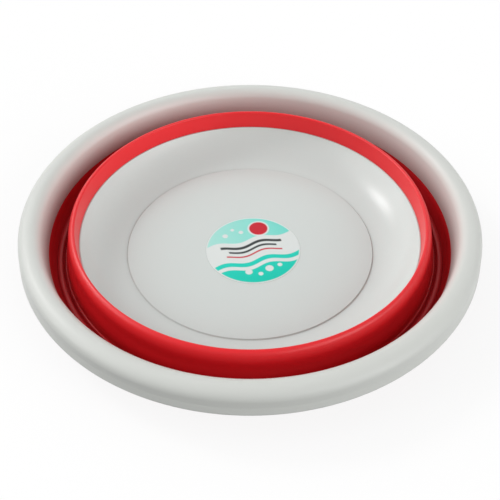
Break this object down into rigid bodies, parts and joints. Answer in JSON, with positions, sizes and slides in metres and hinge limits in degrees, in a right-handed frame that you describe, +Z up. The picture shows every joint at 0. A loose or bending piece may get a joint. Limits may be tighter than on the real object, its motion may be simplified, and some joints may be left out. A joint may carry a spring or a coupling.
{
  "type": "collapsible wash basin",
  "caption": "Round collapsible wash basin, pressed flat: rolled plastic rim, folding soft rubber wall that lifts open, shallow plastic base dish with a foot ring.",
  "frame": {"origin": "centre of the foot ring, on the surface that the basin stands on", "axes": "+Z up along the basin's axis, -Y towards the side that the picture looks from, +X to the right"},
  "size_m": [0.37, 0.37, 0.0465],
  "materials": {
    "pale_plastic": "satin moulded polypropylene, pale warm grey",
    "red_rubber": "satin soft rubber, red",
    "label_paper": "printed vinyl sticker, teal and white"
  },
  "bodies": {
    "base": {"base_dish": "pale_plastic", "wall_lower_collar": "red_rubber", "label": "label_paper"},
    "band_1": {"wall_band_1": "red_rubber"},
    "band_2": {"wall_band_2": "red_rubber"},
    "band_3": {"wall_band_3": "red_rubber"},
    "band_4": {"wall_band_4": "red_rubber"},
    "rim": {"rim_frame": "pale_plastic", "wall_upper_collar": "red_rubber"}
  },
  "joints": [
    {"name": "rim_lift", "type": "slide", "parent": "base", "child": "rim", "axis": [0, 0, 1], "range_m": [0, 0.0735]},
    {"name": "band_1_lift", "type": "slide", "parent": "base", "child": "band_1", "axis": [0, 0, 1], "range_m": [0, 0.0195]},
    {"name": "band_2_lift", "type": "slide", "parent": "base", "child": "band_2", "axis": [0, 0, 1], "range_m": [0, 0.0386]},
    {"name": "band_3_lift", "type": "slide", "parent": "base", "child": "band_3", "axis": [0, 0, 1], "range_m": [0, 0.0566]},
    {"name": "band_4_lift", "type": "slide", "parent": "base", "child": "band_4", "axis": [0, 0, 1], "range_m": [0, 0.0684]}
  ],
  "couplings": [
    {"joint": "band_1_lift", "follows": "rim_lift", "ratio": 0.265},
    {"joint": "band_2_lift", "follows": "rim_lift", "ratio": 0.525},
    {"joint": "band_3_lift", "follows": "rim_lift", "ratio": 0.77},
    {"joint": "band_4_lift", "follows": "rim_lift", "ratio": 0.93}
  ]
}
